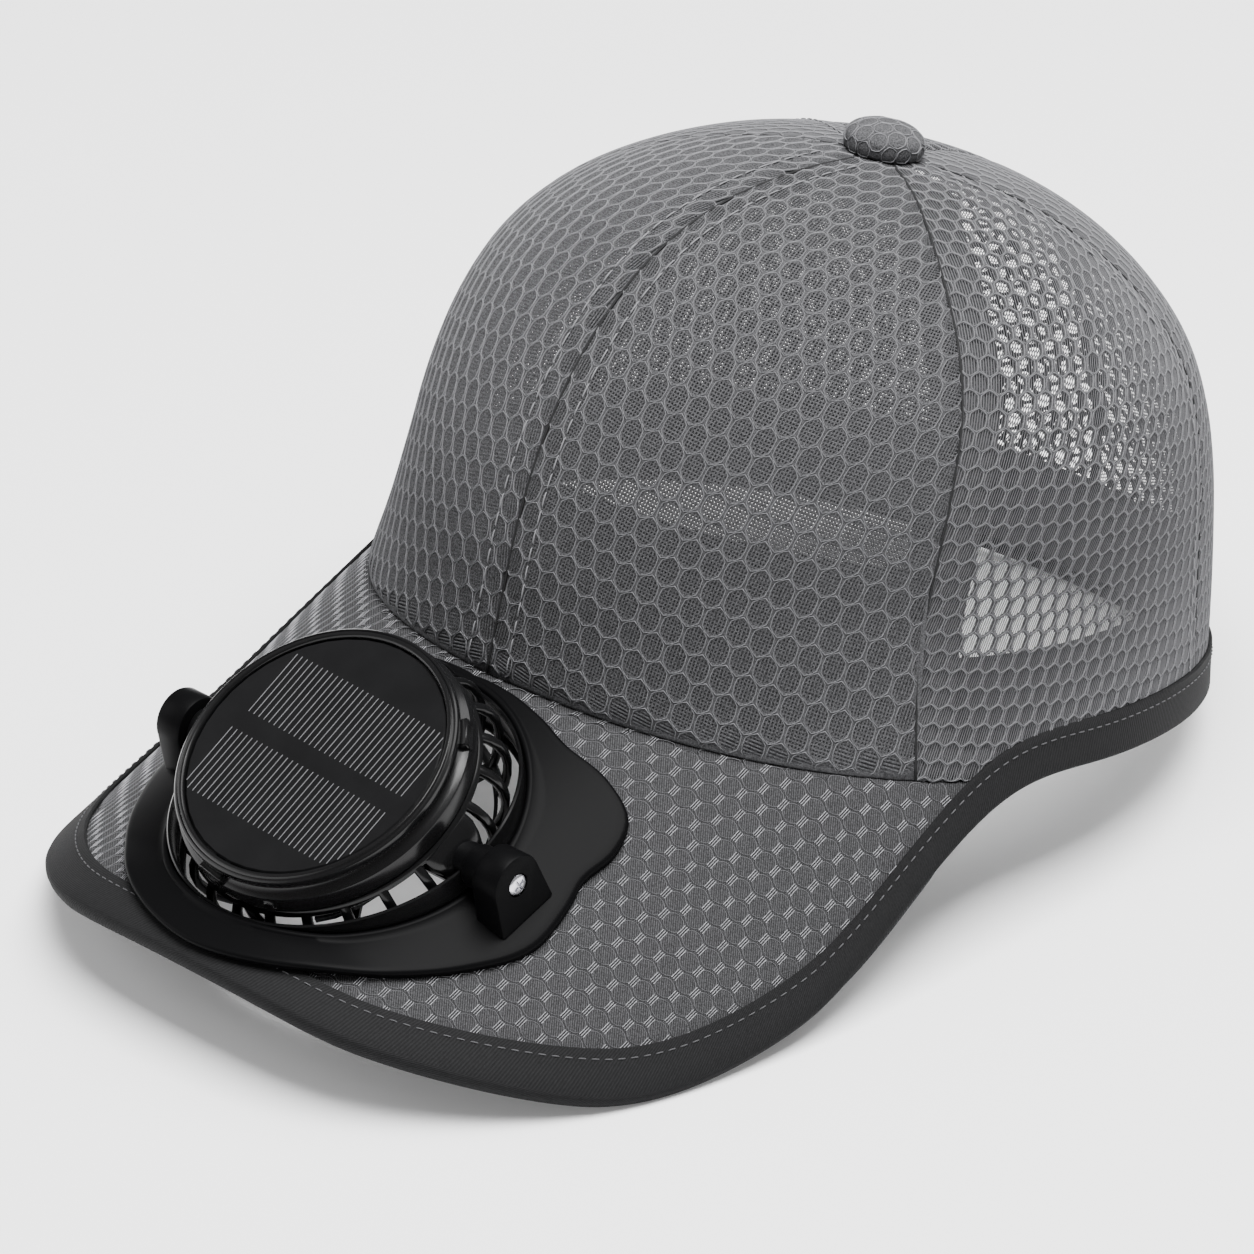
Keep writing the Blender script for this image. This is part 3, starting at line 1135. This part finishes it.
def build_plate():
    """The lobed plate with its rounded edge, and the collar with its bead round the opening."""
    turns = 2 * np.pi * np.arange(PLATE_STATIONS) / PLATE_STATIONS
    degrees = np.degrees(np.arcsin(np.sin(turns)))
    reach = OPENING_RADIUS * smooth_curve(PLATE_OUTLINE[:, 0], PLATE_OUTLINE[:, 1])(degrees)
    collar = OPENING_RADIUS + COLLAR_WALL
    rings = []

    def on_plate(radius, offset):
        across, uphill_by = radius * np.cos(turns), radius * np.sin(turns)
        rings.append(over_peak(across, uphill_by, plate_lift(uphill_by) + offset))

    def in_plane(radius, height):
        across, uphill_by = radius * np.cos(turns), radius * np.sin(turns)
        plane = PIVOT_CAP + np.outer(across, (1.0, 0, 0)) + np.outer(uphill_by, UPHILL)
        rings.append(plane + height * NORMAL)

    in_plane(OPENING_RADIUS, -COLLAR_DEPTH)
    for inward, height in PLATE_BEAD:
        on_plate(OPENING_RADIUS + inward * MM, height * MM)
    start = OPENING_RADIUS + PLATE_BEAD[-1][0] * MM
    for share in (0.15, 0.4, 0.7, 0.9):
        on_plate(start + (reach - PLATE_EDGE - start) * share, PLATE_THICK)
    for turn in np.radians((90, 60, 30, 0, -40)):
        inset, rise = PLATE_EDGE * np.cos(turn), PLATE_EDGE * np.sin(turn)
        on_plate(reach - PLATE_EDGE + inset, PLATE_THICK - PLATE_EDGE + rise)
    on_plate(reach - 0.4 * MM, 0.0)
    on_plate((collar + reach) / 2, 0.0)
    on_plate(collar, 0.0)
    in_plane(collar, -COLLAR_DEPTH)
    rings = np.stack(rings, axis=1)
    sides = rings.shape[1]
    faces = ring_faces(PLATE_STATIONS, sides, True)
    made = new_object("lobed_plate", to_world(rings.reshape(-1, 3)), faces, "cap", [finish_of["satin"]])
    made.data.set_sharp_from_angle(angle=math.radians(50))
    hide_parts("fan_plate")
    turned("well_ring", WELL_RING, MODULE, 160, "gloss", "cap")


def build_bracket(word, side):
    """One ear of the pivot, with rounded edges, standing on the plate."""
    outer_face = BRACKET_INNER + BRACKET_WIDTH
    sections = []
    for across, shrink in BRACKET_SECTIONS:
        x = side * (BRACKET_INNER + across * MM)
        radius = BRACKET_TOP_RADIUS - shrink * MM
        foot = BRACKET_FOOT_HALF - shrink * MM
        ring = []
        for k in range(25):
            turn = math.pi * k / 24
            out = math.cos(turn) * UPHILL + math.sin(turn) * NORMAL
            ring.append(PIVOT_CAP + np.array((x, 0, 0)) + radius * out)
        for uphill_by in np.linspace(-foot, foot, 7):
            ring.append(over_peak(x, uphill_by, plate_lift(uphill_by) + PLATE_THICK + FIT_GAP))
        sections.append([Vector(point) for point in to_world(np.array(ring))])
    name = f"pivot_ear_{word}"
    bracket = finished(name, swept(sections), "satin", "cap", 45)
    axis = MODULE @ Matrix.Rotation(side * math.pi / 2, 4, "Y")
    start, face = (BRACKET_INNER - MM) / MM, outer_face / MM
    bore = SCREW_HEAD_RADIUS / MM + 0.3
    sink = face - SCREW_HEAD / MM
    profile = (
        (0, start), (SCREW_BORE, start), (SCREW_BORE, sink), (bore, sink), (bore, face + 2), (0, face + 2),
    )
    cut(bracket, [turned(name + "_cutter", profile, axis, 48)])
    bracket.data.set_sharp_from_angle(angle=math.radians(45))
    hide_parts(f"pivot_bracket_{word}")
    build_screw(word, axis, face)


def build_screw(word, axis, face):
    """A cross-head screw with a domed head, sunk in its ear."""
    head, shank = SCREW_HEAD_RADIUS / MM, SCREW_RADIUS / MM
    tip, seat = (BRACKET_INNER - FIT_GAP - SCREW_GRIP) / MM, face - SCREW_HEAD / MM + 0.3
    dome = [(head * share, seat + rise) for share, rise in SCREW_DOME]
    profile = ((0, tip), (shank, tip), (shank, seat), *dome)
    screw = turned(f"pivot_screw_head_{word}", profile, axis, 48, "steel", "cap")
    tools = []
    for k, turn in enumerate((SCREW_CROSS_TURN, SCREW_CROSS_TURN + math.pi / 2)):
        slot = bmesh.new()
        height = Matrix.Translation((0, 0, (seat + SCREW_CROSS_HEIGHT) * MM))
        add_box(slot, axis @ height @ Matrix.Rotation(turn, 4, "Z"), SCREW_CROSS)
        tools.append(finished(f"cross_{word}_{k}", slot, None, None))
    cut(screw, tools)
    screw.data.set_sharp_from_angle(angle=math.radians(40))
    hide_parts(f"pivot_screw_{word}")


def build_head():
    """The fan head: its housing with a double lip, the solar panel's cells, the cage and barrels."""
    housing = turned("head_housing", HOUSING_PROFILE, HEAD, 160, "gloss", "fan_head", 30)
    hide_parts("fan_housing")
    lines = bmesh.new()
    for left, right, low, high in CELL_ROWS:
        for x in np.linspace(left, right, CELL_LINES):
            reach = math.sqrt(CELL_REACH ** 2 - x * x)
            bottom, top = max(low, -reach), min(high, reach)
            middle = Vector((x, (bottom + top) / 2, PANEL_TOP + CELL_LINE_LIFT)) * MM
            place = HEAD @ Matrix.Rotation(CELL_TURN, 4, "Z") @ Matrix.Translation(middle)
            add_box(lines, place, (CELL_LINE_WIDTH, top - bottom, CELL_LINE_DEPTH))
    fingers = finished("cell_lines", lines, "silver", "fan_head")
    for k, degrees in enumerate(CLIP_ANGLES):
        clip = bmesh.new()
        turn = Matrix.Rotation(math.radians(degrees), 4, "Z")
        add_box(clip, HEAD @ turn @ Matrix.Translation(Vector(CLIP_PLACE) * MM), CLIP_SIZE)
        bmesh.ops.bevel(clip, geom=clip.edges, offset=0.4 * MM, segments=3, affect="EDGES")
        finished(f"housing_clip_{k + 1}", clip, "gloss", "fan_head")
    spot = Matrix.Rotation(math.radians(DIMPLE_ANGLE), 4, "Z") @ Matrix.Translation(Vector(DIMPLE_PLACE) * MM)
    place = HEAD @ spot @ Matrix.Rotation(math.pi / 2, 4, "Y")
    dimple = turned("housing_dimple", DIMPLE, place, 32, "gloss", "fan_head")
    build_cage()
    for node, finish in (("solar_panel", "cells"), ("fan_motor", "motor"), ("fan_rotor", "rotor")):
        mesh = frame["nodes"][node].data
        mesh.materials.clear()
        mesh.materials.append(finish_of[finish])


def build_cage():
    """The guard under the housing: a band, rounded ribs that turn in under the fan, rings and spokes."""
    band = turned("guard_band", GUARD_BAND, HEAD, 160, "gloss", "fan_head", 30)
    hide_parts("fan_cage")
    ribs = bmesh.new()
    for k in range(CAGE_RIBS):
        turn = 2 * math.pi * k / CAGE_RIBS
        add_rib(ribs, turn, CHEEK_WIDEN if k % (CAGE_RIBS // 2) == 0 else (1.0,) * len(RIB_SECTIONS))
    finished("guard_ribs", ribs, "gloss", "fan_head", 50)
    turned("guard_floor_ring", GUARD_FLOOR, HEAD, 128, "gloss", "fan_head", 30)
    turned("guard_hub", GUARD_HUB, HEAD, 64, "gloss", "fan_head", 30)
    spokes = bmesh.new()
    for k in range(SPOKES):
        turn = Matrix.Rotation(2 * math.pi * k / SPOKES, 4, "Z")
        add_box(spokes, HEAD @ turn @ Matrix.Translation(Vector(SPOKE_PLACE) * MM), SPOKE_SIZE)
    bmesh.ops.bevel(spokes, geom=spokes.edges, offset=0.3 * MM, segments=2, affect="EDGES")
    finished("guard_spokes", spokes, "gloss", "fan_head")
    for side, word in ((-1, "left"), (1, "right")):
        axis = HEAD @ Matrix.Rotation(side * math.pi / 2, 4, "Y")
        barrel = turned(f"pivot_barrel_{word}", BARREL_PROFILE, axis, 64, "satin", "fan_head", 30)


def add_rib(shape, turn, widen):
    """One rib from the band down and in to the floor ring, with rounded edges."""
    outward = Vector((math.cos(turn), math.sin(turn), 0))
    across = Vector((-math.sin(turn), math.cos(turn), 0))
    rings = []
    for (radius, height, half), wider in zip(RIB_SECTIONS, widen):
        level = math.atan2(height, radius)
        out = outward * math.cos(level) + Vector((0, 0, math.sin(level)))
        middle = outward * radius + Vector((0, 0, height))
        ring = []
        for k in range(RIB_SIDES):
            angle = 2 * math.pi * k / RIB_SIDES
            side, depth = math.cos(angle), math.sin(angle)
            side = math.copysign(abs(side) ** RIB_SQUARENESS, side) * half * wider
            depth = math.copysign(abs(depth) ** RIB_SQUARENESS, depth) * RIB_DEPTH
            ring.append(shape.verts.new(HEAD @ ((middle + across * side + out * depth) * MM)))
        rings.append(ring)
    for ring, following in zip(rings, rings[1:]):
        for k in range(RIB_SIDES):
            after = (k + 1) % RIB_SIDES
            shape.faces.new((ring[k], following[k], following[after], ring[after]))
    shape.faces.new(rings[0])
    shape.faces.new(list(reversed(rings[-1])))


# Studio

def area_light(name, place, size, power):
    lamp = bpy.data.lights.new(name, "AREA")
    lamp.shape = "RECTANGLE"
    lamp.size, lamp.size_y = size
    lamp.energy = power
    made = linked(name, lamp)
    made.location = place
    made.rotation_mode = "QUATERNION"
    made.rotation_quaternion = Vector(place).to_track_quat("Z", "Y")
    made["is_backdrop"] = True


def build_studio():
    ground = bmesh.new()
    bmesh.ops.create_grid(ground, x_segments=1, y_segments=1, size=FLOOR_SIZE)
    floor = finished("floor", ground, None, None)
    glow = [("Emission Color", (1.0, 1.0, 1.0, 1.0)), ("Emission Strength", FLOOR_GLOW)]
    floor.data.materials.append(finish("floor", (0.90, 0.90, 0.905), 0.7, sockets=glow))
    floor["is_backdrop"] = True
    world = bpy.data.worlds.new("studio")
    bpy.context.scene.world = world
    world.use_nodes = True
    sky = world.node_tree.nodes["Background"]
    sky.inputs["Color"].default_value = (1.0, 1.0, 1.0, 1.0)
    sky.inputs["Strength"].default_value = SKY_GLOW
    for row in LIGHTS:
        area_light(*row)


def place_camera():
    lens = bpy.data.cameras.new("camera")
    lens.lens = CAMERA_LENS
    lens.sensor_width = CAMERA_SENSOR
    lens.clip_end = 100.0
    camera = linked("camera", lens)
    level = math.cos(CAMERA_ELEVATION)
    side, ahead = math.sin(CAMERA_AZIMUTH) * level, math.cos(CAMERA_AZIMUTH) * level
    back = Vector((side, -ahead, math.sin(CAMERA_ELEVATION)))
    camera.rotation_mode = "QUATERNION"
    camera.rotation_quaternion = back.to_track_quat("Z", "Y")
    camera.location = CAMERA_PLACE
    bpy.context.scene.camera = camera


def main():
    seams = (0.0, SIDE_SEAM_ANGLE, REAR_SEAM_ANGLE, math.pi)
    for zone, start, end in zip(("front", "side", "back"), seams, seams[1:]):
        crown_panel_object(f"panel_{zone}_right", start, end, zone != "front")
        crown_panel_object(f"panel_{zone}_left", -end, -start, zone != "front")
    side, rear = SIDE_SEAM_ANGLE, REAR_SEAM_ANGLE
    seam_lines = (
        ("front", 0.0, 6.0, 6.0), ("side_right", side, 7.0, 9.0), ("side_left", -side, 9.0, 7.0),
        ("rear_right", rear, 1.2, 1.2), ("rear_left", -rear, 1.2, 1.2), ("back", math.pi, 1.2, 1.2),
    )
    for word, seam, low, high in seam_lines:
        seam_strip(f"seam_backing_{word}", seam, (low * MM, high * MM), SEAM_BACKING_DEPTHS, "backing")
        seam_strip(f"seam_groove_{word}", seam, (SEAM_GROOVE_HALF,) * 2, SEAM_GROOVE_DEPTHS, "groove")
    front_lining()
    for word, sign in (("right", 1), ("left", -1)):
        for zone, first, last, way in (("side", side, rear, -1), ("front", 0.0, side, 1)):
            begin, finish_at = sorted((sign * first, sign * last))
            seam_stitches(f"seam_stitches_{zone}_{word}", begin, finish_at, sign * way * SEAM_STITCH_OFFSET)
    build_sweatband()
    build_button()
    build_peak()
    build_binding()
    build_plate()
    for side, word in ((-1, "left"), (1, "right")):
        build_bracket(word, side)
    build_head()
    build_studio()
    place_camera()
    low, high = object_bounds()


main()
